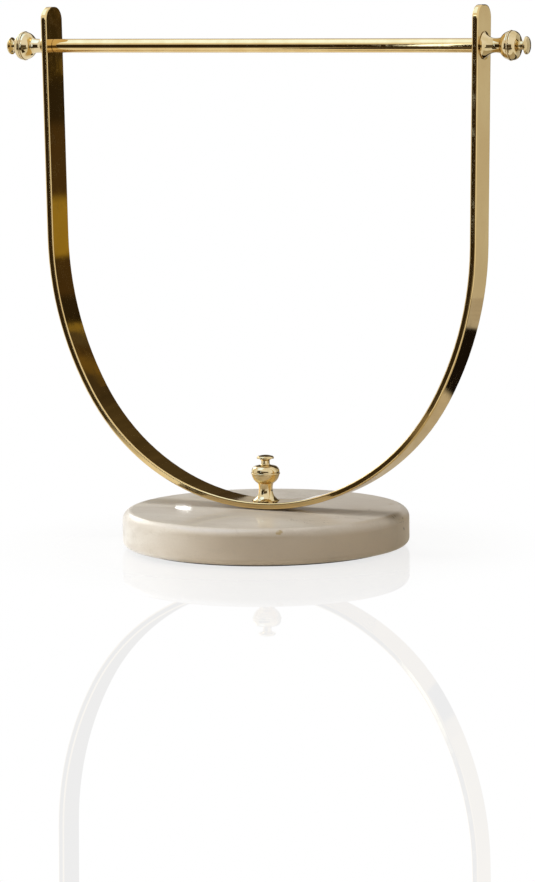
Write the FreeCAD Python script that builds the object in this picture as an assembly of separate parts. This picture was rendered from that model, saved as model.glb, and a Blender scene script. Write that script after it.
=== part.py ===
import FreeCAD, Part
import math
import os

# Freestanding towel stand: a flat brass strap bent to a U on a round marble
# base, a round bar between the arms and three turned brass finials.
# Millimetres. X runs along the bar, Z is up, and the origin is the centre of
# the underside of the base pad.

# Base disc and the pad glued under it
base_d = 180.0
base_h = 22.5
base_top_edge_r = 6.0
base_foot_edge_r = 4.0
felt_inset = 5.0
felt_h = 1.5
felt_window_margin = 1.5
well_d = 24.0
well_depth = 9.5
base_hole_margin = 1.5

# Strap: the half profile runs from the seat through two arcs to a straight
# arm that leans out slightly
strap_w = 22.0
strap_t = 4.0
strap_edge_r = 1.0
seat_half = 1.0
low_arc_r = 137.0
low_arc_deg = 60.3
high_arc_r = 204.0
splay_deg = 0.86
tip_h = 312.5
tip_flat = 5.5
seat_flat = 0.12
spot_depth = 0.25
spot_margin = 0.5
bar_spot_depth = 0.15
bar_spot_margin = 0.3
strap_hole_margin = 0.25

# Soft washer between strap and marble
strap_pad_d = 16.0
strap_pad_h = 0.5

# Towel bar: a tube with a threaded plug in each end
bar_drop = 24.5
bar_d = 8.7
bar_wall = 0.9
insert_l = 14.0
insert_chamfer = 0.4
insert_gap = 0.02

# Threaded parts: plain cores, with a thread gap in every tapped hole
thread_d = 5.0
thread_gap = 0.05
thread_engage = 12.0
thread_spare = 1.5
thread_chamfer = 0.5
drill_point_deg = 118.0

# Finial, turned: foot, neck, bowl, lip between two grooves, cap, stem and button
finial_gap = 0.05
foot_d = 16.6
foot_land = 0.8
neck_d = 8.8
neck_at = 7.2
neck_hollow = 0.16
bowl_foot_d = 9.7
bowl_foot_at = 11.2
bowl_root_d = 10.3
bowl_root_rise = 0.35
bowl_d = 17.5
bowl_top_at = 16.8
bowl_bulge = 0.72
lip_d = 18.0
lip_h = 0.9
lip_bulge = 0.22
groove_d = 16.9
low_groove_h = 0.3
groove_h = 0.45
cap_d = 17.7
cap_h = 4.0
cap_bulge = 1.05
cap_top_d = 11.0
cap_crown = 0.5
stem_foot_d = 6.6
stem_fillet = 1.1
stem_d = 5.4
stem_hollow = 0.2
stem_top_at = 25.6
button_d = 10.8
button_hollow = 0.3
button_at = 27.0
button_rim_h = 1.5
button_rim_bulge = 0.4
button_top_d = 8.6
finial_l = 29.2

# Screw and washers in the well under the base
washer_d = 18.0
washer_h = 1.2
washer_margin = 0.15
lock_d = 9.2
lock_h = 1.2
lock_split = 1.2
head_d = 8.5
head_h = 5.0
head_chamfer = 0.5
socket_af = 4.0
socket_depth = 2.5
socket_sides = 6
shank_in_head = 2.5

V = FreeCAD.Vector
UP = V(0, 0, 1)
ALONG = V(1, 0, 0)
ACROSS = V(0, 1, 0)
ORIGIN = V(0, 0, 0)

# Levels that follow from the sizes
base_z = felt_h
base_top = base_z + base_h
strap_z = base_top + strap_pad_h
pad_top = strap_z + seat_flat
bar_z = strap_z + tip_h - bar_drop
well_top = base_z + well_depth
foot_seat = strap_z + strap_t - spot_depth


def cylinder(diameter, height, start, axis=UP):
    """Solid cylinder of a diameter from a start point along an axis."""
    return Part.makeCylinder(diameter / 2, height, start, axis)


def point(r, z):
    """Profile point at radius r and height z."""
    return V(r, 0, z)


def line(a, b):
    """Straight profile edge."""
    return Part.makeLine(a, b)


def arc(a, middle, b):
    """Profile arc through three points."""
    return Part.Arc(a, middle, b).toShape()


def bulged(a, b, bulge):
    """Arc from a to b that stands off its chord by bulge, outward if positive."""
    chord = b - a
    side = V(chord.z, 0, -chord.x)
    side.normalize()
    return arc(a, (a + b) * 0.5 + side * bulge, b)


def revolve(edges):
    """Solid of revolution about Z from a closed run of profile edges."""
    face = Part.Face(Part.Wire(edges))
    return face.revolve(ORIGIN, UP, 360)


def on_arc(cx, cz, r, degrees):
    """Point of an arc, with the angle counted from straight down."""
    a = math.radians(degrees)
    return V(cx + r * math.sin(a), 0, cz - r * math.cos(a))


def half_strap_edges(inset):
    """Edges of the right half profile, from the middle of the seat to above the tip."""
    low_r = low_arc_r - inset
    high_r = high_arc_r - inset
    end_deg = 90.0 - splay_deg
    low_c = V(seat_half, 0, strap_z + low_arc_r)
    high_c = low_c + on_arc(0, 0, low_arc_r - high_arc_r, low_arc_deg)
    seat = V(0, 0, strap_z + inset)
    a = on_arc(low_c.x, low_c.z, low_r, 0)
    a_mid = on_arc(low_c.x, low_c.z, low_r, low_arc_deg / 2)
    b = on_arc(low_c.x, low_c.z, low_r, low_arc_deg)
    b_mid = on_arc(high_c.x, high_c.z, high_r, (low_arc_deg + end_deg) / 2)
    c = on_arc(high_c.x, high_c.z, high_r, end_deg)
    rise = strap_z + tip_h - c.z
    tip = c + V(rise * math.tan(math.radians(splay_deg)), 0, rise)
    return [line(seat, a), arc(a, a_mid, b), arc(b, b_mid, c), line(c, tip)], tip


def mirrored(edges):
    """The same edges on the left, in reverse order."""
    flipped = [e.mirror(ORIGIN, ALONG) for e in edges]
    return list(reversed(flipped))


def arm_x(inset, z):
    """Distance from the middle to the straight arm's face at height z."""
    tip = half_strap_edges(inset)[1]
    return tip.x - (tip.z - z) * math.tan(math.radians(splay_deg))


outer_seat = arm_x(0, bar_z) - spot_depth
inner_seat = arm_x(strap_t, bar_z) + bar_spot_depth


def tip_edges(solid):
    """The four short edges across the thickness at the tips."""
    found = []
    for e in solid.Edges:
        box = e.BoundBox
        if box.YLength < strap_edge_r and box.ZMin > bar_z and box.XLength > strap_t / 2:
            found.append(e)
    return found


def rim_edges(solid):
    """Every edge of the strap's two side outlines and round its tips."""
    half = strap_w / 2
    found = []
    for e in solid.Edges:
        box = e.BoundBox
        on_side = box.YLength < strap_edge_r and abs(abs(box.YMin) - half) < strap_edge_r / 10
        on_tip = box.ZMin > bar_z and box.YLength > strap_edge_r
        across = on_side and box.ZMin > bar_z and box.ZLength < strap_t
        if (on_side and not across) or on_tip:
            found.append(e)
    return found


def make_strap():
    """U strap with rounded tips, holes for the studs and the screw, and flat seats."""
    outer, outer_tip = half_strap_edges(0)
    inner, inner_tip = half_strap_edges(strap_t)
    right_cap = line(outer_tip, inner_tip)
    left_cap = right_cap.mirror(ORIGIN, ALONG)
    outline = mirrored(outer) + outer + [right_cap] + inner + mirrored(inner) + [left_cap]
    wire = Part.Wire(Part.sortEdges(outline)[0])
    face = Part.Face(wire)
    face.translate(V(0, -strap_w / 2, 0))
    solid = face.extrude(V(0, strap_w, 0))
    solid = solid.makeFillet((strap_w - tip_flat) / 2, tip_edges(solid))
    solid = solid.makeFillet(strap_edge_r, rim_edges(solid))
    hole_d = thread_d + 2 * strap_hole_margin
    foot_spot_d = foot_d + 2 * spot_margin
    bar_spot_d = bar_d + 2 * bar_spot_margin
    cuts = [
        cylinder(hole_d, strap_t * 2, V(0, 0, strap_z - strap_t / 2)),
        cylinder(foot_spot_d, strap_t, V(0, 0, foot_seat)),
        cylinder(2 * strap_w, strap_t, V(0, 0, pad_top - strap_t)),
    ]
    for side in (-1, 1):
        out = ALONG * side
        axis_point = V(0, 0, bar_z)
        cuts.append(cylinder(hole_d, outer_seat + strap_t, axis_point, out))
        cuts.append(cylinder(foot_spot_d, strap_t, axis_point + out * outer_seat, out))
        cuts.append(cylinder(bar_spot_d, inner_seat - strap_w, axis_point + out * strap_w, out))
    for tool in cuts:
        solid = solid.cut(tool)
    return solid.removeSplitter()


def rim(disc, pick):
    """The highest or the lowest round edge of a disc."""
    return pick((e for e in disc.Edges if e.Closed), key=lambda e: e.CenterOfMass.z)


def make_base():
    """Marble disc with rounded edges, a hole for the screw and a well below it."""
    disc = cylinder(base_d, base_h, V(0, 0, base_z))
    disc = disc.makeFillet(base_top_edge_r, [rim(disc, max)])
    disc = disc.makeFillet(base_foot_edge_r, [rim(disc, min)])
    hole = cylinder(thread_d + 2 * base_hole_margin, base_h, V(0, 0, base_z))
    well = cylinder(well_d, well_depth, V(0, 0, base_z))
    return disc.cut(hole).cut(well)


def make_felt():
    """Pad under the base with a window that leaves the well open."""
    pad = cylinder(base_d - 2 * (base_foot_edge_r + felt_inset), felt_h, ORIGIN)
    window = cylinder(well_d + 2 * felt_window_margin, felt_h, ORIGIN)
    return pad.cut(window)


def make_strap_pad():
    """Soft washer on the marble under the strap's seat."""
    height = pad_top - base_top
    pad = cylinder(strap_pad_d, height, V(0, 0, base_top))
    hole = cylinder(thread_d + 2 * strap_hole_margin, height, V(0, 0, base_top))
    return pad.cut(hole)


def make_bar():
    """Towel bar: a tube whose ends butt on the arms' inner seats."""
    start = V(-inner_seat, 0, bar_z)
    tube = cylinder(bar_d, 2 * inner_seat, start, ALONG)
    return tube.cut(cylinder(bar_d - 2 * bar_wall, 2 * inner_seat, start, ALONG))


def make_insert(side):
    """Threaded plug in one end of the tube, flush with the tube's end."""
    r = bar_d / 2 - bar_wall - insert_gap
    hole_r = thread_d / 2 + thread_gap
    profile = [
        point(hole_r, 0),
        point(r, 0),
        point(r, insert_l - insert_chamfer),
        point(r - insert_chamfer, insert_l),
        point(hole_r, insert_l),
        point(hole_r, 0),
    ]
    plug = revolve(Part.makePolygon(profile).Edges)
    plug.rotate(ORIGIN, ACROSS, -90 * side)
    plug.translate(V(side * inner_seat, 0, bar_z))
    return plug


def threaded_rod(length):
    """Plain core of a screw thread with chamfered ends, from the origin up."""
    r = thread_d / 2
    profile = [
        point(0, 0),
        point(r - thread_chamfer, 0),
        point(r, thread_chamfer),
        point(r, length - thread_chamfer),
        point(r - thread_chamfer, length),
        point(0, length),
        point(0, 0),
    ]
    return revolve(Part.makePolygon(profile).Edges)


def make_stud(side):
    """Stud from the plug through the arm into the finial."""
    inside = inner_seat - thread_engage
    length = outer_seat + thread_engage - inside
    stud = threaded_rod(length)
    stud.rotate(ORIGIN, ACROSS, 90 * side)
    stud.translate(V(side * inside, 0, bar_z))
    return stud


def finial_outline():
    """Outside profile of the finial, from the edge of its foot to the crown of its button."""
    foot = point(foot_d / 2, 0)
    land = point(foot_d / 2, foot_land)
    neck = point(neck_d / 2, neck_at)
    a = foot_d / 2 - neck_d / 2
    b = neck_at - foot_land
    cove_r = (a * a + b * b) / (2 * a)
    cove_deg = math.degrees(math.asin(b / cove_r)) / 2
    cove_mid = on_arc(neck_d / 2 + cove_r, neck_at, cove_r, -90 + cove_deg)
    bowl_foot = point(bowl_foot_d / 2, bowl_foot_at)
    root = point(bowl_root_d / 2, bowl_foot_at + bowl_root_rise)
    bowl_top = point(bowl_d / 2, bowl_top_at)
    under_lip = point(groove_d / 2, bowl_top_at)
    lip_at = bowl_top_at + low_groove_h
    lip_root = point(groove_d / 2, lip_at)
    lip_low = point(lip_d / 2, lip_at)
    lip_mid = point(lip_d / 2 + lip_bulge, lip_at + lip_h / 2)
    lip_high = point(lip_d / 2, lip_at + lip_h)
    groove_low = point(groove_d / 2, lip_at + lip_h)
    groove_top = lip_at + lip_h + groove_h
    groove_high = point(groove_d / 2, groove_top)
    cap_low = point(cap_d / 2, groove_top)
    cap_high = point(cap_top_d / 2, groove_top + cap_h)
    stem_foot = point(stem_foot_d / 2, groove_top + cap_h + cap_crown)
    stem_low = point(stem_d / 2, stem_foot.z + stem_fillet)
    stem_high = point(stem_d / 2, stem_top_at)
    under = point(button_d / 2, button_at)
    over = point(button_top_d / 2, button_at + button_rim_h)
    crown = point(0, finial_l)
    crown_h = crown.z - over.z
    ball_r = (over.x * over.x + crown_h * crown_h) / (2 * crown_h)
    crown_deg = math.degrees(math.asin(over.x / ball_r))
    crown_mid = on_arc(0, finial_l - ball_r, ball_r, 180 - crown_deg / 2)
    return [
        line(foot, land),
        arc(land, cove_mid, neck),
        bulged(neck, bowl_foot, -neck_hollow),
        line(bowl_foot, root),
        bulged(root, bowl_top, bowl_bulge),
        line(bowl_top, under_lip),
        line(under_lip, lip_root),
        line(lip_root, lip_low),
        arc(lip_low, lip_mid, lip_high),
        line(lip_high, groove_low),
        line(groove_low, groove_high),
        line(groove_high, cap_low),
        bulged(cap_low, cap_high, cap_bulge),
        line(cap_high, stem_foot),
        bulged(stem_foot, stem_low, -stem_hollow),
        line(stem_low, stem_high),
        bulged(stem_high, under, -button_hollow),
        bulged(under, over, button_rim_bulge),
        arc(over, crown_mid, crown),
    ]


def make_finial():
    """Turned finial standing on the origin, with a blind tapped hole in its foot."""
    hole_r = thread_d / 2 + thread_gap
    depth = thread_engage + thread_spare
    point_h = hole_r / math.tan(math.radians(drill_point_deg / 2))
    mouth_r = hole_r + thread_chamfer
    bore = [
        line(point(0, finial_l), point(0, depth + point_h)),
        line(point(0, depth + point_h), point(hole_r, depth)),
        line(point(hole_r, depth), point(hole_r, thread_chamfer)),
        line(point(hole_r, thread_chamfer), point(mouth_r, 0)),
        line(point(mouth_r, 0), point(foot_d / 2, 0)),
    ]
    return revolve(finial_outline() + bore)


def make_side_finial(side):
    """Finial on one end of the bar, its foot on the arm's outer seat."""
    finial = make_finial()
    finial.rotate(ORIGIN, ACROSS, 90 * side)
    finial.translate(V(side * (outer_seat + finial_gap), 0, bar_z))
    return finial


def make_base_finial():
    """Finial that stands in the bottom of the U and clamps it to the base."""
    finial = make_finial()
    finial.translate(V(0, 0, foot_seat + finial_gap))
    return finial


def make_washer():
    """Large washer against the roof of the well."""
    z = well_top - washer_h
    ring = cylinder(washer_d, washer_h, V(0, 0, z))
    return ring.cut(cylinder(thread_d + 2 * washer_margin, washer_h, V(0, 0, z)))


def make_lock_washer():
    """Split spring washer under the large washer, pressed flat."""
    z = well_top - washer_h - lock_h
    hole_d = thread_d + 2 * washer_margin
    ring = cylinder(lock_d, lock_h, V(0, 0, z)).cut(cylinder(hole_d, lock_h, V(0, 0, z)))
    split = Part.makeBox(lock_d, lock_split, lock_h, V(0, -lock_split / 2, z))
    return ring.cut(split)


def make_screw():
    """Socket head screw from below through base and strap into the base finial."""
    head_top = well_top - washer_h - lock_h
    shank_foot = head_top - shank_in_head
    shank = threaded_rod(foot_seat + thread_engage - shank_foot)
    shank.translate(V(0, 0, shank_foot))
    r = head_d / 2
    profile = [
        point(0, 0),
        point(r - head_chamfer, 0),
        point(r, head_chamfer),
        point(r, head_h),
        point(0, head_h),
        point(0, 0),
    ]
    head = revolve(Part.makePolygon(profile).Edges)
    corner_r = socket_af / (2 * math.cos(math.pi / socket_sides))
    turn = 2 * math.pi / socket_sides
    corners = [point(corner_r, 0)]
    for k in range(1, socket_sides):
        corners.append(V(corner_r * math.cos(k * turn), corner_r * math.sin(k * turn), 0))
    corners.append(corners[0])
    socket = Part.Face(Part.makePolygon(corners)).extrude(V(0, 0, socket_depth))
    head = head.cut(socket)
    head.translate(V(0, 0, head_top - head_h))
    return head.fuse(shank).removeSplitter()


os.makedirs("parts", exist_ok=True)

nodes = {
    "marble_base": make_base(),
    "base_felt": make_felt(),
    "strap_pad": make_strap_pad(),
    "u_strap": make_strap(),
    "towel_bar": make_bar(),
    "bar_insert_left": make_insert(-1),
    "bar_insert_right": make_insert(1),
    "bar_stud_left": make_stud(-1),
    "bar_stud_right": make_stud(1),
    "finial_left": make_side_finial(-1),
    "finial_right": make_side_finial(1),
    "finial_base": make_base_finial(),
    "base_washer": make_washer(),
    "lock_washer": make_lock_washer(),
    "base_screw": make_screw(),
}

for name, shape in nodes.items():
    shape.exportStep("parts/" + name + ".step")
    box = shape.BoundBox
    print(name, shape.isValid(), len(shape.Solids), round(shape.Volume / 1000, 3), "cm3",
          [round(v, 2) for v in (box.XMin, box.XMax, box.YMin, box.YMax, box.ZMin, box.ZMax)])
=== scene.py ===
"""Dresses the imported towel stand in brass, marble, felt, rubber and steel, and sets its studio."""

import math

import bmesh
import bpy
from bpy.props import FloatProperty, FloatVectorProperty, PointerProperty
from mathutils import Matrix, Vector

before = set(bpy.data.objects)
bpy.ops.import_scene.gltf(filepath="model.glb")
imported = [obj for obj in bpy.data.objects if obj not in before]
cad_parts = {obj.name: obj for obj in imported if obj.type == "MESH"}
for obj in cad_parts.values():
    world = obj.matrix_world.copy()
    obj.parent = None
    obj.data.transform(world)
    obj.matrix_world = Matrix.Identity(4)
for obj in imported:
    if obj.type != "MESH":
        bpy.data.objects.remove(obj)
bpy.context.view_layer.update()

bl_info = {
    "name": "Towel Stand",
    "version": (1, 0, 0),
    "blender": (4, 5, 0),
    "location": "3D View > Sidebar > Towel Stand",
    "description": "Finishes and stage for a brass towel stand on a marble base",
    "category": "Object",
}

SIDE_FINIALS = ("finial_left", "finial_right")
INSERTS = ("bar_insert_left", "bar_insert_right")
STUDS = ("bar_stud_left", "bar_stud_right")
RIGHT_ANGLE = math.radians(90.0)

# Brass: polishing lines to the metre, and the depth of the waves on bar and turned pieces.
LINES_PER_METRE = 1400.0
BAR_WAVE = 0.000008
TURNED_WAVE = 0.000006

# Stone: where its warm brown painted shade begins and is full, to the right and from the top down to
# the side; partly also the stone's own warm tone.
WARM_SHADE_ACROSS = (-0.072, 0.055)
WARM_SHADE_DOWN = (0.0238, 0.0175)

# Flaws of the stone that show on the real one, and one painted reflection of the brass: two ends,
# width, soft edge, colour and weight.
MARBLE_MARKS = (
    ((0.0445, -0.0765, 0.0215), (0.0455, -0.0755, 0.0222), 0.0005, 0.0013, "ochre", 0.85),
    ((0.0565, -0.0195, 0.024), (0.0726, -0.0200, 0.024), 0.00015, 0.0006, "hairline", 0.75),
    ((0.075, -0.024, 0.024), (0.081, -0.019, 0.024), 0.0001, 0.0006, "hairline", 0.5),
    ((0.0885, 0.006, 0.019), (0.0895, 0.012, 0.013), 0.0003, 0.0009, "hairline", 0.9),
    ((0.020, -0.082, 0.023), (0.030, -0.083, 0.014), 0.0001, 0.0007, "vein", 0.6),
    # A broad soft warm tint on the top at the back left: painted reflection of the brass strap, not
    # a flaw.
    ((-0.066, 0.008, 0.024), (-0.040, 0.036, 0.024), 0.004, 0.014, "ochre", 0.22),
)

# Stage: floor, and the walls of cards behind the stand and on the camera's side.
FLOOR_REACH = 12.0
FLOOR_Z = -0.0002
SHADE_RING = (0.09, 0.20)
BACK_Y = 0.70
BACK_TOP = 0.75
FRONT_Y = -0.90
FLOOR_CARD_Z = 0.001
CEILING_Z = 1.25
LEFT_X = -1.60
WHITE = (1.0, 1.0, 1.0)


# ---------------------------------------------------------------- settings


def tint(label, about, colour):
    """A colour setting."""
    return FloatVectorProperty(
        name=label, description=about, default=colour, size=3, min=0.0, max=1.0, subtype="COLOR"
    )


def share(label, about, value, high=1.0):
    """A plain number from 0 to high."""
    return FloatProperty(name=label, description=about, default=value, min=0.0, max=high)


def length(label, about, value):
    """A length in metres."""
    return FloatProperty(
        name=label, description=about, default=value, min=0.0, subtype="DISTANCE", unit="LENGTH"
    )


def turn(label, about, degrees):
    """An angle, written in degrees."""
    angle = math.radians(degrees)
    return FloatProperty(
        name=label, description=about, default=angle, subtype="ANGLE", unit="ROTATION"
    )


class TowelStandBrass(bpy.types.PropertyGroup):
    """Polished and lacquered brass of strap, bar and finials."""

    light: tint("Light Brass", "Colour where the metal is brightest", (0.76, 0.57, 0.27))
    deep: tint("Deep Brass", "Colour of the slightly darker clouds", (0.71, 0.51, 0.225))
    pale: tint("Pale Brass", "Colour of the freshly polished finials", (0.74, 0.60, 0.355))
    olive: tint("Olive Brass", "Colour of the finials' darker clouds", (0.62, 0.48, 0.24))
    # Patina and shade: this colour darkens the grooves and corners, partly real patina and partly
    # painted shade.
    tarnish_and_shade: tint("Tarnish And Shade", "Colour that lies in grooves and corners", (0.30, 0.18, 0.055))
    polish: share("Polish Roughness", "Roughness of the best polished places", 0.045)
    handled: share("Handled Roughness", "Roughness where hands and cloths have dulled it", 0.11)
    strap_wave: length("Strap Wave Depth", "Depth of the slow waves that bending leaves", 0.00006)
    fine_line: length("Fine Line Depth", "Depth of hairlines left by polishing", 0.0000012)


class TowelStandMarble(bpy.types.PropertyGroup):
    """Honed and waxed marble of the base disc."""

    ground: tint("Ground", "Colour of the clear stone", (0.80, 0.765, 0.70))
    cloud: tint("Cloud", "Colour of the greyer clouds", (0.70, 0.655, 0.59))
    # Warm brown of the right of the side: painted shade, partly the stone's own tone.
    honey_shade: tint("Honey Shade", "Colour of the warm brown side", (0.59, 0.495, 0.375))
    vein: tint("Vein", "Colour of the soft veins", (0.50, 0.44, 0.36))
    hairline: tint("Hairline", "Colour of the thin dark cracks", (0.10, 0.08, 0.065))
    # Ochre also colours the painted reflection of the brass on the top.
    ochre: tint("Ochre", "Colour of the small rusty spots", (0.44, 0.32, 0.13))
    honed: share("Honed Roughness", "Roughness of the stone under its wax", 0.30)
    wax: share("Wax", "Share of the surface that the wax makes sharp", 0.25)
    wax_polish: share("Wax Roughness", "Roughness of the wax on the stone", 0.02)
    vein_scale: share("Vein Scale", "Veins per metre", 11.0, 100.0)


class TowelStandUnderside(bpy.types.PropertyGroup):
    """Felt and steel under the base, and the soft washer on it."""

    felt: tint("Felt", "Colour of the felt", (0.075, 0.075, 0.08))
    felt_fibre: tint("Felt Fibre", "Colour of the lighter fibres", (0.16, 0.16, 0.165))
    zinc: tint("Zinc", "Colour of the plated steel", (0.60, 0.60, 0.62))
    washer: tint("Soft Washer", "Colour of the soft washer under the strap", (0.70, 0.69, 0.66))


class TowelStandStage(bpy.types.PropertyGroup):
    """Camera, floor and lamps."""

    camera_place: FloatVectorProperty(
        name="Camera Place",
        description="Where the camera stands",
        default=(0.974449, -2.056281, 0.360706),
        size=3,
        subtype="TRANSLATION",
        unit="LENGTH",
    )
    camera_yaw: turn("Camera Yaw", "Turn of the camera to the left", 25.319)
    camera_dip: turn("Camera Dip", "How far the camera looks down", 7.375)
    camera_lean: turn("Camera Lean", "Turn of the camera about its line of sight", -0.627)
    camera_lens: share("Focal Length", "Focal length in mm on a 36 mm frame", 149.520, 500.0)
    mirror: share("Floor Mirror", "Share of light that the floor mirrors", 0.155)
    shade: share("Floor Shade", "Share of the floor that takes light and shade", 0.10)
    overhead: share("Overhead Lamp", "Power of the softbox above, in watts", 7.5, 200.0)
    key: share("Key Lamp", "Power of the softbox on the left, in watts", 17.0, 200.0)
    fill: share("Fill Lamp", "Power of the weak lamp on the right, in watts", 0.6, 200.0)
    ambient: share("Ambient", "Strength of the light from all round", 0.22)


class TowelStandSettings(bpy.types.PropertyGroup):
    """All settings of the towel stand."""

    brass: PointerProperty(type=TowelStandBrass)
    marble: PointerProperty(type=TowelStandMarble)
    underside: PointerProperty(type=TowelStandUnderside)
    stage: PointerProperty(type=TowelStandStage)


# ---------------------------------------------------------------- node helpers


class Graph:
    """Adds nodes to a shader node tree. An input may be given a value or another node's output."""

    def __init__(self, tree):
        self.tree = tree

    def add(self, kind, inputs=None, **settings):
        """A new node, its inputs filled by name or number."""
        made = self.tree.nodes.new("ShaderNode" + kind)
        for name, value in settings.items():
            setattr(made, name, value)
        for name, value in (inputs or {}).items():
            self.feed(made.inputs[name], value)
        return made

    def feed(self, socket, value):
        """Links the socket to an output, or sets it to a value."""
        if isinstance(value, bpy.types.NodeSocket):
            self.tree.links.new(value, socket)
        else:
            socket.default_value = value

    def math(self, operation, *values, clamp=False):
        """Result of an operation on numbers."""
        inputs = dict(enumerate(values))
        return self.add("Math", inputs, operation=operation, use_clamp=clamp).outputs[0]

    def vector_math(self, operation, *values, scale=None):
        """Outputs of an operation on vectors."""
        inputs = dict(enumerate(values))
        if scale is not None:
            inputs["Scale"] = scale
        return self.add("VectorMath", inputs, operation=operation).outputs

    def noise(self, vector, scale, detail=2.0, roughness=0.5, distortion=0.0, output=0):
        """Cloudy noise as a number, or as a colour where the output is named so."""
        inputs = {
            "Vector": vector,
            "Scale": scale,
            "Detail": detail,
            "Roughness": roughness,
            "Distortion": distortion,
        }
        return self.add("TexNoise", inputs).outputs[output]

    def shaken(self, vector, scale, detail, reach):
        """The vector, pushed about by a noise."""
        twist = self.noise(vector, scale, detail, 0.6, output="Color")
        offset = self.vector_math("SUBTRACT", twist, (0.5, 0.5, 0.5))[0]
        push = self.vector_math("SCALE", offset, scale=reach)[0]
        return self.vector_math("ADD", vector, push)[0]

    def spread(self, value, low, high, to_low=0.0, to_high=1.0):
        """Value mapped smoothly from low..high to the two ends, and held there outside them."""
        inputs = {0: value, 1: low, 2: high, 3: to_low, 4: to_high}
        return self.add("MapRange", inputs, interpolation_type="SMOOTHSTEP").outputs[0]

    def blend(self, factor, a, b):
        """Colour between a and b."""
        return self.add("Mix", {0: factor, 6: a, 7: b}, data_type="RGBA").outputs[2]

    def scaled(self, vector, scale):
        """The vector, stretched along its axes."""
        return self.add("Mapping", {"Vector": vector, "Scale": scale}).outputs[0]

    def bump(self, height):
        """Normal of a surface with that height in metres."""
        return self.add("Bump", {"Height": height, "Strength": 1.0, "Distance": 1.0}).outputs[0]


def rgba(colour):
    """The colour with a full alpha."""
    return (*colour, 1.0)


def new_group(name, inputs, outputs):
    """An empty node group, a graph to fill it, what it is given and what it has to put out."""
    tree = bpy.data.node_groups.new(name, "ShaderNodeTree")
    for label, kind, value in inputs:
        socket = tree.interface.new_socket(label, in_out="INPUT", socket_type="NodeSocket" + kind)
        if value is not None:
            socket.default_value = value
    for label, kind in outputs:
        tree.interface.new_socket(label, in_out="OUTPUT", socket_type="NodeSocket" + kind)
    given = tree.nodes.new("NodeGroupInput").outputs
    result = tree.nodes.new("NodeGroupOutput").inputs
    return tree, Graph(tree), given, result


def build_polish(name):
    """Hand polished metal: clouds of tone, uneven roughness, slow waves and fine lines."""
    inputs = [
        ("Vector", "Vector", None),
        ("Line Vector", "Vector", None),
        ("Cloud Scale", "Float", 30.0),
        ("Line Scale", "Float", 900.0),
        ("Low Roughness", "Float", 0.08),
        ("High Roughness", "Float", 0.18),
        ("Wave Depth", "Float", 0.0001),
        ("Line Depth", "Float", 0.000001),
    ]
    outputs = [("Tone", "Float"), ("Roughness", "Float"), ("Height", "Float")]
    tree, g, given, result = new_group(name, inputs, outputs)
    vector, low, high = given["Vector"], given["Low Roughness"], given["High Roughness"]
    cloud = g.noise(vector, given["Cloud Scale"], 3.0, 0.55)
    smear_scale = g.math("MULTIPLY", given["Cloud Scale"], 4.3)
    smear = g.noise(vector, smear_scale, 4.0, 0.6, 0.4)
    dulled = g.spread(smear, 0.42, 0.72)
    step = g.math("SUBTRACT", high, low)
    wave_scale = g.math("MULTIPLY", given["Cloud Scale"], 0.8)
    wave = g.math("MULTIPLY", g.noise(vector, wave_scale, 1.0), given["Wave Depth"])
    line = g.noise(given["Line Vector"], given["Line Scale"], 2.0)
    g.feed(result["Tone"], g.spread(cloud, 0.35, 0.65))
    g.feed(result["Roughness"], g.math("MULTIPLY_ADD", dulled, step, low))
    g.feed(result["Height"], g.math("MULTIPLY_ADD", line, given["Line Depth"], wave))
    return tree


def build_corner_dirt_and_shade(name):
    """Mask of the grooves and inner corners by ambient occlusion, broken up so that it isn't even:
    painted shade, partly dirt and patina.
    """
    inputs = [
        ("Vector", "Vector", None),
        ("Reach", "Float", 0.001),
        ("Grain Scale", "Float", 300.0),
    ]
    tree, g, given, result = new_group(name, inputs, [("Mask", "Float")])
    # Ambient occlusion darkens the corners and grooves: painted shade.
    hidden = g.add("AmbientOcclusion", {"Distance": given["Reach"]}, samples=6)
    depth = g.spread(hidden.outputs["AO"], 0.80, 0.30)
    grain = g.noise(given["Vector"], given["Grain Scale"], 3.0)
    patchy = g.spread(grain, 0.30, 0.70, 0.45, 1.0)
    g.feed(result["Mask"], g.math("MULTIPLY", depth, patchy))
    return tree


def build_grain(name):
    """Fine grain: a mask of specks and a height, for stone and rubber."""
    inputs = [
        ("Vector", "Vector", None),
        ("Scale", "Float", 500.0),
        ("Depth", "Float", 0.00001),
    ]
    tree, g, given, result = new_group(name, inputs, [("Mask", "Float"), ("Height", "Float")])
    speck = g.noise(given["Vector"], given["Scale"], 5.0, 0.65)
    g.feed(result["Mask"], g.spread(speck, 0.40, 0.66))
    g.feed(result["Height"], g.math("MULTIPLY", speck, given["Depth"]))
    return tree


def build_vein(name):
    """Thin winding lines where a warped noise passes its middle value."""
    inputs = [
        ("Vector", "Vector", None),
        ("Scale", "Float", 10.0),
        ("Warp", "Float", 0.02),
        ("Width", "Float", 0.02),
    ]
    tree, g, given, result = new_group(name, inputs, [("Mask", "Float")])
    warp_scale = g.math("MULTIPLY", given["Scale"], 2.6)
    bent = g.shaken(given["Vector"], warp_scale, 4.0, given["Warp"])
    field = g.noise(bent, given["Scale"], 2.0, 0.45)
    away = g.math("ABSOLUTE", g.math("SUBTRACT", field, 0.5))
    near = g.math("DIVIDE", away, given["Width"])
    g.feed(result["Mask"], g.spread(near, 1.0, 0.0))
    return tree


def place_group(g, name, build, **inputs):
    """Outputs of a group in a material. The group is built the first time it is asked for."""
    made = g.tree.nodes.new("ShaderNodeGroup")
    made.node_tree = bpy.data.node_groups.get(name) or build(name)
    for label, value in inputs.items():
        g.feed(made.inputs[label.replace("_", " ")], value)
    return made.outputs


def veins(g, vector, scale, warp, width):
    """Mask of veins, so many to the metre."""
    made = place_group(g, "Vein", build_vein, Vector=vector, Scale=scale, Warp=warp, Width=width)
    return made["Mask"]


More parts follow.
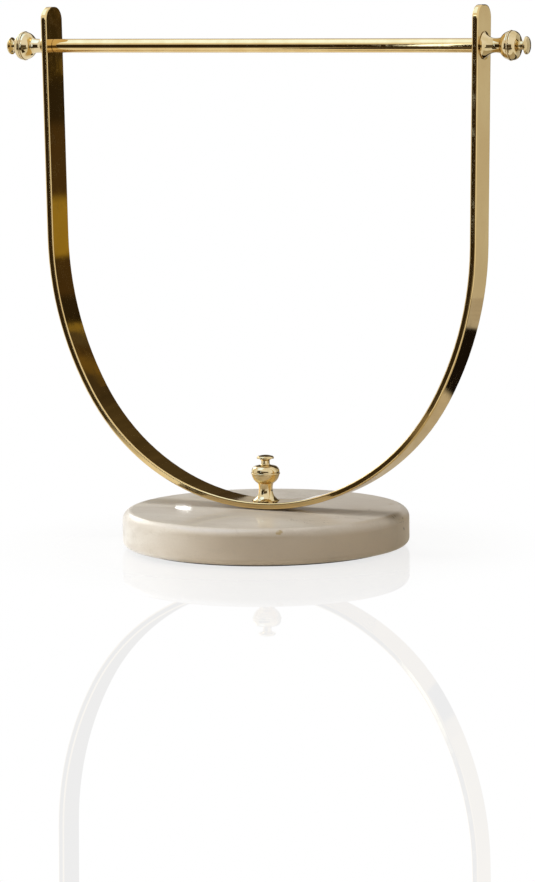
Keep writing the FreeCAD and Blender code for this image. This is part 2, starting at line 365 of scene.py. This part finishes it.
def corner_dirt_and_shade(g, vector, reach):
    """Mask of the painted shade and dirt that lie up to reach from a corner."""
    return place_group(g, "Corner Dirt And Shade", build_corner_dirt_and_shade, Vector=vector, Reach=reach)["Mask"]


def shown_rays(g):
    """1 for rays that show a surface: from the camera, from gloss and through clear pieces."""
    path = g.add("LightPath").outputs
    shown = g.math("MAXIMUM", path["Is Camera Ray"], path["Is Glossy Ray"])
    return g.math("MAXIMUM", shown, path["Is Transmission Ray"])


def new_material(name):
    """A material with an empty tree, its graph and its object coordinates."""
    material = bpy.data.materials.new(name)
    material.use_nodes = True
    material.node_tree.nodes.clear()
    g = Graph(material.node_tree)
    return material, g, g.add("TexCoord").outputs["Object"]


def surface(g, kind, inputs):
    """Puts out a shader of that kind as the material's surface."""
    g.add("OutputMaterial", {"Surface": g.add(kind, inputs).outputs[0]})


def dress(material, *nodes):
    """Puts the material on CAD nodes."""
    for name in nodes:
        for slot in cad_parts[name].material_slots:
            slot.material = material


# ---------------------------------------------------------------- finishes


def metal_surface(g, colour, polish):
    """Bare metal of that colour, with the roughness and height of its polish."""
    inputs = {
        "Base Color": colour,
        "Metallic": 1.0,
        "Roughness": polish["Roughness"],
        "Normal": g.bump(polish["Height"]),
    }
    surface(g, "BsdfPrincipled", inputs)


def make_brass(
    name, brass, tones, cloud_scale, wave_depth, stretch=(1.0, 1.0, 1.0), reach=0.0012, dull=1.0
):
    """Polished brass in two tones.

    Cloud scale is clouds to the metre, stretch draws the polishing lines out along an axis, reach
    is how far painted shade and patina spread from a corner, and dull multiplies the roughness.
    """
    material, g, vector = new_material(name)
    polish = place_group(
        g,
        "Hand Polish",
        build_polish,
        Vector=vector,
        Line_Vector=g.scaled(vector, stretch),
        Cloud_Scale=cloud_scale,
        Line_Scale=LINES_PER_METRE,
        Low_Roughness=brass.polish * dull,
        High_Roughness=brass.handled * dull,
        Wave_Depth=wave_depth,
        Line_Depth=brass.fine_line,
    )
    clear = g.blend(polish["Tone"], rgba(tones[0]), rgba(tones[1]))
    # Corners darkened in the patina colour: painted shade, partly real patina.
    colour = g.blend(corner_dirt_and_shade(g, vector, reach), clear, rgba(brass.tarnish_and_shade))
    metal_surface(g, colour, polish)
    return material


def cloud_stone(g, marble, vector, cloud):
    """Colour of the stone: clear and greyer clouds, with painted shade in warm brown to the right
    and on the side, partly the stone's own tone.
    """
    colour = g.blend(g.spread(cloud, 0.38, 0.68), rgba(marble.ground), rgba(marble.cloud))
    side = g.vector_math("DOT_PRODUCT", vector, (1.0, -0.25, 0.0))["Value"]
    side = g.math("MULTIPLY_ADD", g.math("SUBTRACT", cloud, 0.5), 0.05, side)
    height = g.add("SeparateXYZ", {0: vector}).outputs["Z"]
    below = g.spread(height, *WARM_SHADE_DOWN, 0.30, 1.0)
    # Warm brown on the right of the side, away from the key lamp: painted shade.
    warm_shade = g.math("MULTIPLY", g.spread(side, *WARM_SHADE_ACROSS), below)
    return g.blend(warm_shade, colour, rgba(marble.honey_shade))


def vein_stone(g, marble, colour, vector, tilted, cloud):
    """Adds broad faint veins, finer ones, and dark hairlines in a few broken places."""
    scale = marble.vein_scale
    broad = veins(g, tilted, scale, 0.05, 0.09)
    faint = g.math("MULTIPLY", broad, g.spread(cloud, 0.3, 0.7, 0.08, 0.30))
    colour = g.blend(faint, colour, rgba(marble.vein))
    fine = g.math("MULTIPLY", veins(g, tilted, scale * 2.7, 0.03, 0.02), 0.20)
    colour = g.blend(fine, colour, rgba(marble.vein))
    crack = veins(g, tilted, scale * 3.4, 0.012, 0.007)
    where = g.spread(g.noise(vector, scale * 2.3, 1.0), 0.60, 0.68)
    broken = g.spread(g.noise(vector, scale * 40.0, 1.0), 0.42, 0.50)
    crack = g.math("MULTIPLY", g.math("MULTIPLY", crack, where), broken)
    return g.blend(crack, colour, rgba(marble.hairline))


def spot_stone(g, marble, colour, vector):
    """Adds ochre spots in a few of many cells."""
    cell = g.add("TexVoronoi", {"Vector": vector, "Scale": marble.vein_scale * 4.0}, feature="F1")
    lot = g.add("SeparateColor", {0: cell.outputs["Color"]}).outputs[0]
    chosen = g.spread(lot, 0.93, 0.95)
    spot = g.spread(cell.outputs["Distance"], 0.16, 0.03)
    spot = g.math("MULTIPLY", g.math("MULTIPLY", spot, chosen), 0.75)
    return g.blend(spot, colour, rgba(marble.ochre))


def stroke(g, vector, start, end, width, edge):
    """Mask along a straight stroke between two points, soft over the edge."""
    start, end = Vector(start), Vector(end)
    along = end - start
    off = g.vector_math("SUBTRACT", vector, start)[0]
    part = g.vector_math("DOT_PRODUCT", off, along / along.length_squared)["Value"]
    part = g.math("MULTIPLY", part, 1.0, clamp=True)
    foot = g.vector_math("SCALE", along, scale=part)[0]
    gap = g.vector_math("DISTANCE", off, foot)["Value"]
    return g.spread(gap, width + edge, width)


def mark_stone(g, marble, colour, vector):
    """Adds the stone's flaws and one painted reflection of the brass on the top, their lines a
    little shaken.
    """
    shaken = g.shaken(vector, 260.0, 3.0, 0.004)
    for start, end, width, edge, tone, weight in MARBLE_MARKS:
        mask = g.math("MULTIPLY", stroke(g, shaken, start, end, width, edge), weight)
        colour = g.blend(mask, colour, rgba(getattr(marble, tone)))
    return colour


def make_marble(marble):
    """Warm grey marble with clouds, soft veins, dark hairlines and a few ochre spots, waxed, with
    painted shade on its right side and a painted reflection of the brass on its top.
    """
    material, g, vector = new_material("polished_marble")
    slant = {"Vector": vector, "Rotation": (0.3, 0.5, 0.6), "Scale": (1.0, 1.9, 2.6)}
    tilted = g.add("Mapping", slant).outputs[0]
    cloud = g.noise(tilted, marble.vein_scale * 1.1, 5.0, 0.62, 0.8)
    colour = cloud_stone(g, marble, vector, cloud)
    colour = vein_stone(g, marble, colour, vector, tilted, cloud)
    colour = spot_stone(g, marble, colour, vector)
    colour = mark_stone(g, marble, colour, vector)
    grain = place_group(g, "Fine Grain", build_grain, Vector=vector, Scale=700.0, Depth=0.000004)
    colour = g.blend(g.math("MULTIPLY", grain["Mask"], 0.10), colour, rgba(marble.vein))
    smear = g.spread(g.noise(vector, 38.0, 3.0, 0.6), 0.35, 0.75)
    inputs = {
        "Base Color": colour,
        "Roughness": g.math("MULTIPLY_ADD", smear, 0.12, marble.honed),
        "IOR": 1.5,
        "Coat Weight": marble.wax,
        "Coat Roughness": g.math("MULTIPLY_ADD", smear, 0.02, marble.wax_polish),
        "Normal": g.bump(grain["Height"]),
    }
    surface(g, "BsdfPrincipled", inputs)
    return material


def make_felt(settings):
    """Pressed felt: matted fibres that show as lighter flecks."""
    material, g, vector = new_material("pressed_felt")
    mat = g.noise(g.scaled(vector, (1.0, 1.0, 3.0)), 900.0, 6.0, 0.7, 1.6)
    fibre = veins(g, vector, 620.0, 0.002, 0.05)
    flecks = g.math("MULTIPLY", fibre, g.spread(mat, 0.35, 0.65, 0.2, 0.9))
    nap_depth = 0.00012
    inputs = {
        "Base Color": g.blend(flecks, rgba(settings.felt), rgba(settings.felt_fibre)),
        "Roughness": 0.95,
        "Sheen Weight": 0.35,
        "Sheen Roughness": 0.5,
        "Normal": g.bump(g.math("MULTIPLY", g.math("ADD", mat, flecks), nap_depth)),
    }
    surface(g, "BsdfPrincipled", inputs)
    return material


def make_soft_washer(settings):
    """Soft washer: milky rubber with dust on it."""
    material, g, vector = new_material("soft_washer")
    dust = place_group(g, "Fine Grain", build_grain, Vector=vector, Scale=1500.0, Depth=0.00001)
    dusty = tuple(0.75 * c for c in settings.washer)
    inputs = {
        "Base Color": g.blend(dust["Mask"], rgba(settings.washer), rgba(dusty)),
        "Roughness": g.spread(dust["Mask"], 0.0, 1.0, 0.35, 0.6),
        "Normal": g.bump(dust["Height"]),
    }
    surface(g, "BsdfPrincipled", inputs)
    return material


def make_zinc(settings):
    """Zinc plated steel: cool metal with spangled tone, faint dull patches, and corners darkened by
    painted shade mixed with dirt.
    """
    material, g, vector = new_material("zinc_plated_steel")
    polish = place_group(
        g,
        "Hand Polish",
        build_polish,
        Vector=vector,
        Line_Vector=vector,
        Cloud_Scale=260.0,
        Line_Scale=4000.0,
        Low_Roughness=0.22,
        High_Roughness=0.42,
        Wave_Depth=0.00002,
        Line_Depth=0.000002,
    )
    bright = tuple(min(1.0, 1.12 * c) for c in settings.zinc)
    grime_and_shade = (0.10, 0.095, 0.09)
    colour = g.blend(polish["Tone"], rgba(settings.zinc), rgba(bright))
    # Darker corners: painted shade, partly dirt.
    colour = g.blend(corner_dirt_and_shade(g, vector, 0.0015), colour, rgba(grime_and_shade))
    metal_surface(g, colour, polish)
    return material


# ---------------------------------------------------------------- stage parts


def flat_sheet(name, low, high, oval=False):
    """A flat rectangle, or the oval in it, between opposite corners that share one coordinate."""
    low, high = Vector(low), Vector(high)
    span = high - low
    mesh = bpy.data.meshes.new(name)
    bm = bmesh.new()
    if oval:
        bmesh.ops.create_circle(bm, cap_ends=True, radius=0.5, segments=40)
    else:
        bmesh.ops.create_grid(bm, x_segments=1, y_segments=1, size=0.5)
    if not span.x:
        bmesh.ops.rotate(bm, matrix=Matrix.Rotation(RIGHT_ANGLE, 3, "Y"), verts=bm.verts)
    if not span.y:
        bmesh.ops.rotate(bm, matrix=Matrix.Rotation(RIGHT_ANGLE, 3, "X"), verts=bm.verts)
    bmesh.ops.scale(bm, vec=[width or 1.0 for width in span], verts=bm.verts)
    bmesh.ops.translate(bm, vec=(low + high) / 2, verts=bm.verts)
    bm.to_mesh(mesh)
    bm.free()
    sheet = bpy.data.objects.new(name, mesh)
    bpy.context.scene.collection.objects.link(sheet)
    return sheet


def make_floor(stage):
    """White floor that keeps a soft shadow, mirrors a little and is clear when seen from below."""
    low = (-FLOOR_REACH, -FLOOR_REACH, FLOOR_Z)
    floor = flat_sheet("floor", low, (FLOOR_REACH, FLOOR_REACH, FLOOR_Z))
    material, g, vector = new_material("white_floor")
    shown = shown_rays(g)
    away = g.vector_math("LENGTH", vector)["Value"]
    near = g.spread(away, *SHADE_RING, stage.shade, 0.0)
    white = g.math("MULTIPLY", shown, g.math("SUBTRACT", 1.0, near))
    fleck = g.spread(g.noise(vector, 9.0, 3.0), 0.3, 0.7)
    paint = g.blend(fleck, rgba((0.90, 0.90, 0.895)), rgba((0.92, 0.92, 0.915)))
    matt = g.add("BsdfDiffuse", {"Color": paint})
    glow = g.add("Emission", {"Color": rgba(WHITE), "Strength": 1.0})
    body = g.add("MixShader", {0: white, 1: matt.outputs[0], 2: glow.outputs[0]})
    gloss = g.add("BsdfGlossy", {"Color": rgba(WHITE), "Roughness": 0.0})
    mirrored = g.math("MULTIPLY", shown, stage.mirror)
    upper = g.add("MixShader", {0: mirrored, 1: body.outputs[0], 2: gloss.outputs[0]})
    clear = g.add("BsdfTransparent")
    below = g.add("NewGeometry").outputs["Backfacing"]
    surface(g, "MixShader", {0: below, 1: upper.outputs[0], 2: clear.outputs[0]})
    floor.data.materials.append(material)


def make_card(name, low, high, tones, along=2, mottle=0.0, glow=1.0, oval=False):
    """A studio card that only reflections show, between two corners.

    Its tones are places along one axis with their colours, and a lone one fills the card. Mottle
    breaks them up with upright streaks.
    """
    card = flat_sheet(name, low, high, oval)
    for flag in ("camera", "diffuse", "transmission", "volume_scatter", "shadow"):
        setattr(card, "visible_" + flag, False)
    material, g, vector = new_material(name + "_paper")
    colour = rgba(tones[0][1])
    for (start, _), (end, tone) in zip(tones, tones[1:]):
        place = g.add("SeparateXYZ", {0: vector}).outputs[along]
        colour = g.blend(g.spread(place, start, end), colour, rgba(tone))
    strength = glow
    if mottle:
        streak = g.noise(g.scaled(vector, (1.0, 1.0, 0.12)), 42.0, 4.0, 0.6)
        strength = g.spread(streak, 0.30, 0.70, glow * (1.0 - mottle), glow * (1.0 + mottle))
    light = g.add("Emission", {"Color": colour, "Strength": strength})
    clear = g.add("BsdfTransparent")
    sharp = g.add("LightPath").outputs["Is Singular Ray"]
    surface(g, "MixShader", {0: sharp, 1: light.outputs[0], 2: clear.outputs[0]})
    card.data.materials.append(material)


def upright_card(name, y, across, up, tones, **settings):
    """A card that faces the stand from the front or the back, its tones one above the other."""
    make_card(name, (across[0], y, up[0]), (across[1], y, up[1]), tones, **settings)


def level_card(name, z, across, away, tones, **settings):
    """A level card, its tones one behind the other."""
    low, high = (across[0], away[0], z), (across[1], away[1], z)
    make_card(name, low, high, tones, along=1, **settings)


def make_back_cards():
    """What the strap's broad faces and the marble's top mirror: a dim room behind the stand."""
    dark = (0.060, 0.042, 0.020)
    black = (0.016, 0.011, 0.006)
    brown = (0.060, 0.036, 0.012)
    olive = (0.082, 0.060, 0.028)
    gold = (0.34, 0.235, 0.035)
    dull_gold = (0.26, 0.18, 0.035)
    bronze = (0.16, 0.10, 0.022)
    umber = (0.026, 0.018, 0.008)
    pale = (0.46, 0.44, 0.41)
    room_left, room_right = 0.10, 0.325
    window_top = 0.215
    corner_foot = 0.272

    straight = [
        (0.172, gold),
        (0.184, brown),
        (0.235, brown),
        (0.248, umber),
        (0.270, umber),
        (0.285, (0.036, 0.024, 0.008)),
        (BACK_TOP, (0.036, 0.024, 0.010)),
    ]
    room = (room_left, room_right)
    upright_card("back_room_card", BACK_Y, room, (0.0, BACK_TOP), straight, mottle=0.25)

    curved = [
        (0.280, black),
        (0.284, dull_gold),
        (0.293, dull_gold),
        (0.298, olive),
        (0.312, olive),
        (0.320, brown),
        (0.328, brown),
        (0.334, bronze),
        (0.348, bronze),
        (0.356, dark),
        (0.385, dark),
        (0.420, olive),
    ]
    corner, up = (room_left, 0.2255), (corner_foot, BACK_TOP)
    upright_card("back_corner_card", BACK_Y - 0.005, corner, up, curved, mottle=0.30)

    window, up = (-0.80, room_left), (0.0, window_top)
    upright_card("back_window_card", BACK_Y, window, up, [(0.0, pale)], mottle=0.08)

    shade = [(0.26, dark), (0.34, olive)]
    up = (window_top, BACK_TOP)
    upright_card("back_shade_card", BACK_Y, (-0.62, room_left), up, shade, mottle=0.2)

    grey = [(0.0, (0.62, 0.60, 0.53)), (BACK_TOP, (0.68, 0.66, 0.58))]
    upright_card("back_grey_card", BACK_Y, (room_right, 0.95), (0.0, BACK_TOP), grey, mottle=0.03)

    lamp, up = (-0.412, -0.396), (0.1403, 0.1425)
    upright_card("back_lamp_card", BACK_Y - 0.01, lamp, up, [(0.0, WHITE)], glow=14.0, oval=True)


def make_front_cards():
    """What the strap's narrow faces, the bar and the finials mirror: the dim side of the camera."""
    dark = (0.035, 0.024, 0.012)
    soft = (0.10, 0.075, 0.042)
    grey = (0.6, 0.6, 0.6)
    daylight = (2.4, 2.9, 3.8)
    window_left, window_right = -0.281, -0.243
    far_left = -0.18

    tones = [(0.55, dark), (0.72, grey)]
    up = (0.0, 0.72)
    upright_card("front_left_card", FRONT_Y, (-1.0, window_left), up, tones, mottle=0.1)
    upright_card("front_right_card", FRONT_Y, (window_right, far_left), up, tones, mottle=0.1)

    tones = [(0.0, (0.4, 0.36, 0.28)), (0.10, soft), (0.34, soft), (0.50, grey)]
    upright_card("front_far_card", FRONT_Y, (far_left, 1.0), (0.0, 0.50), tones)

    tones = [(0.12, dark), (0.18, daylight)]
    upright_card("front_window_card", FRONT_Y, (window_left, window_right), (0.0, 0.80), tones)


def make_floor_cards():
    """What the undersides mirror: a darker floor before, behind and beside the stand."""
    dark = (0.05, 0.036, 0.018)
    black = (0.010, 0.007, 0.005)
    warm = (0.54, 0.48, 0.37)

    tones = [(-0.56, dark), (-0.40, (0.72, 0.70, 0.66)), (-0.36, (0.80, 0.79, 0.76))]
    away = (FRONT_Y, -0.36)
    level_card("floor_front_card", FLOOR_CARD_Z, (-1.0, 1.0), away, tones, mottle=0.1)

    tones = [(-0.68, (0.30, 0.25, 0.17)), (-0.56, (0.26, 0.21, 0.14)), (-0.50, dark)]
    away = (-0.68, -0.19)
    level_card("floor_near_card", FLOOR_CARD_Z + 0.0002, (-0.17, 0.05), away, tones, mottle=0.1)

    tones = [(0.238, warm), (0.252, black), (0.465, black), (0.49, (0.50, 0.47, 0.42))]
    away = (-0.10, BACK_Y - 0.001)
    level_card("floor_right_card", FLOOR_CARD_Z, (-0.02, 0.62), away, tones, mottle=0.08)


def make_ceiling_cards():
    """Bright daylight from above and from the left."""
    sky = [(0.0, (1.30, 1.70, 2.45))]
    level_card("ceiling_card", CEILING_Z, (-1.05, -0.18), (-0.85, 0.35), sky, mottle=0.05)
    glint = [(0.0, (1.0, 1.0, 0.97))]
    low, high = (LEFT_X, 0.35, 0.60), (LEFT_X, 2.30, 1.45)
    make_card("left_window_card", low, high, glint, mottle=0.4, glow=3.2)


def make_lamp(name, power, size, place, aim, colour):
    """A rectangular softbox that shines from its place towards a point."""
    data = bpy.data.lights.new(name, "AREA")
    data.shape = "RECTANGLE"
    data.size, data.size_y = size
    data.energy = power
    data.color = colour
    lamp = bpy.data.objects.new(name, data)
    bpy.context.scene.collection.objects.link(lamp)
    turn_to = (Vector(aim) - Vector(place)).to_track_quat("-Z", "Y")
    lamp.matrix_world = Matrix.Translation(place) @ turn_to.to_matrix().to_4x4()
    lamp.visible_camera = False
    lamp.visible_glossy = False


def make_lamps(stage):
    """Softboxes above and on the left, and a weak warm one on the right."""
    make_lamp(
        "overhead_softbox",
        stage.overhead,
        size=(0.9, 0.5),
        place=(0.0, -0.05, 1.25),
        aim=(0.0, 0.0, 0.1),
        colour=(1.0, 0.99, 0.97),
    )
    make_lamp(
        "key_softbox",
        stage.key,
        size=(0.7, 0.7),
        place=(-1.40, -0.62, 0.45),
        aim=(0.0, 0.0, 0.02),
        colour=(1.0, 0.995, 0.97),
    )
    make_lamp(
        "fill_softbox",
        stage.fill,
        size=(0.6, 0.6),
        place=(1.1, -0.9, 0.6),
        aim=(0.0, 0.0, 0.05),
        colour=(1.0, 0.84, 0.64),
    )


def make_world(stage):
    """White to the camera and in reflections, softer and slightly warm as light."""
    world = bpy.data.worlds.new("studio")
    world.use_nodes = True
    world.node_tree.nodes.clear()
    g = Graph(world.node_tree)
    warm = (1.0, 0.87, 0.70)
    white = g.add("Background", {"Color": rgba(WHITE), "Strength": 1.0})
    soft = g.add("Background", {"Color": rgba(warm), "Strength": stage.ambient})
    mixed = g.add("MixShader", {0: shown_rays(g), 1: soft.outputs[0], 2: white.outputs[0]})
    g.add("OutputWorld", {"Surface": mixed.outputs[0]})
    bpy.context.scene.world = world


def make_camera(stage):
    """Camera at the photograph's place and angle."""
    data = bpy.data.cameras.new("camera")
    data.sensor_fit = "AUTO"
    data.sensor_width = 36.0
    data.lens = stage.camera_lens
    data.clip_start = 0.05
    data.clip_end = 60.0
    camera = bpy.data.objects.new("camera", data)
    bpy.context.scene.collection.objects.link(camera)
    yaw = Matrix.Rotation(stage.camera_yaw, 4, "Z")
    dip = Matrix.Rotation(RIGHT_ANGLE - stage.camera_dip, 4, "X")
    lean = Matrix.Rotation(stage.camera_lean, 4, "Z")
    camera.matrix_world = Matrix.Translation(stage.camera_place) @ yaw @ dip @ lean
    bpy.context.scene.camera = camera


# ---------------------------------------------------------------- operators


class TOWELSTAND_OT_strap(bpy.types.Operator):
    """Gives the U strap its polished brass"""

    bl_idname = "towelstand.strap"
    bl_label = "Finish Strap"

    def execute(self, context):
        brass = context.scene.towel_stand.brass
        tones = (brass.deep, brass.light)
        material = make_brass(
            "strap_brass",
            brass,
            tones,
            cloud_scale=26.0,
            wave_depth=brass.strap_wave,
            stretch=(0.04, 1.0, 0.04),
        )
        dress(material, "u_strap")
        return {"FINISHED"}


class TOWELSTAND_OT_bar(bpy.types.Operator):
    """Gives the towel bar and the plugs in its ends their brass"""

    bl_idname = "towelstand.bar"
    bl_label = "Finish Bar"

    def execute(self, context):
        brass = context.scene.towel_stand.brass
        tones = (brass.deep, brass.light)
        drawn = make_brass(
            "bar_brass",
            brass,
            tones,
            cloud_scale=90.0,
            wave_depth=BAR_WAVE,
            stretch=(0.12, 1.0, 1.0),
        )
        turned = make_brass(
            "turned_brass", brass, tones, cloud_scale=300.0, wave_depth=TURNED_WAVE, dull=3.0
        )
        dress(drawn, "towel_bar")
        dress(turned, *INSERTS)
        return {"FINISHED"}


class TOWELSTAND_OT_finials(bpy.types.Operator):
    """Gives the three turned finials their polished brass"""

    bl_idname = "towelstand.finials"
    bl_label = "Finish Finials"

    def execute(self, context):
        brass = context.scene.towel_stand.brass
        tones = (brass.olive, brass.pale)
        material = make_brass(
            "finial_brass", brass, tones, cloud_scale=160.0, wave_depth=TURNED_WAVE, reach=0.0008
        )
        dress(material, "finial_base", *SIDE_FINIALS)
        return {"FINISHED"}


class TOWELSTAND_OT_base(bpy.types.Operator):
    """Gives the base disc its marble and the washer on it its soft finish"""

    bl_idname = "towelstand.base"
    bl_label = "Finish Base"

    def execute(self, context):
        settings = context.scene.towel_stand
        dress(make_marble(settings.marble), "marble_base")
        dress(make_soft_washer(settings.underside), "strap_pad")
        return {"FINISHED"}


class TOWELSTAND_OT_underside(bpy.types.Operator):
    """Gives the felt, the washers, the screw and the studs their finishes"""

    bl_idname = "towelstand.underside"
    bl_label = "Finish Underside"

    def execute(self, context):
        settings = context.scene.towel_stand.underside
        dress(make_felt(settings), "base_felt")
        dress(make_zinc(settings), "base_washer", "lock_washer", "base_screw", *STUDS)
        return {"FINISHED"}


class TOWELSTAND_OT_stage(bpy.types.Operator):
    """Sets up floor, studio cards, lamps, world and camera"""

    bl_idname = "towelstand.stage"
    bl_label = "Set Stage"

    def execute(self, context):
        stage = context.scene.towel_stand.stage
        make_world(stage)
        make_floor(stage)
        make_back_cards()
        make_front_cards()
        make_floor_cards()
        make_ceiling_cards()
        make_lamps(stage)
        make_camera(stage)
        context.scene.view_settings.view_transform = "Standard"
        return {"FINISHED"}


class TOWELSTAND_PT_sidebar(bpy.types.Panel):
    """Lists the towel stand's steps and settings"""

    bl_idname = "TOWELSTAND_PT_sidebar"
    bl_label = "Towel Stand"
    bl_space_type = "VIEW_3D"
    bl_region_type = "UI"
    bl_category = "Towel Stand"

    def draw(self, context):
        settings = context.scene.towel_stand
        steps = self.layout.column(align=True)
        for step in STEPS:
            steps.operator(step.bl_idname)
        for part in ("brass", "marble", "underside", "stage"):
            group = getattr(settings, part)
            rows = self.layout.box().column()
            rows.label(text=part.capitalize())
            for name in group.bl_rna.properties.keys():
                if name not in ("name", "rna_type"):
                    rows.prop(group, name)


STEPS = (
    TOWELSTAND_OT_strap,
    TOWELSTAND_OT_bar,
    TOWELSTAND_OT_finials,
    TOWELSTAND_OT_base,
    TOWELSTAND_OT_underside,
    TOWELSTAND_OT_stage,
)
CLASSES = (
    TowelStandBrass,
    TowelStandMarble,
    TowelStandUnderside,
    TowelStandStage,
    TowelStandSettings,
    *STEPS,
    TOWELSTAND_PT_sidebar,
)


def register():
    for cls in CLASSES:
        bpy.utils.register_class(cls)
    bpy.types.Scene.towel_stand = PointerProperty(type=TowelStandSettings)


def unregister():
    del bpy.types.Scene.towel_stand
    for cls in reversed(CLASSES):
        bpy.utils.unregister_class(cls)


def main():
    """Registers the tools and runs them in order."""
    register()
    bpy.ops.towelstand.strap()
    bpy.ops.towelstand.bar()
    bpy.ops.towelstand.finials()
    bpy.ops.towelstand.base()
    bpy.ops.towelstand.underside()
    bpy.ops.towelstand.stage()


if __name__ == "__main__":
    main()
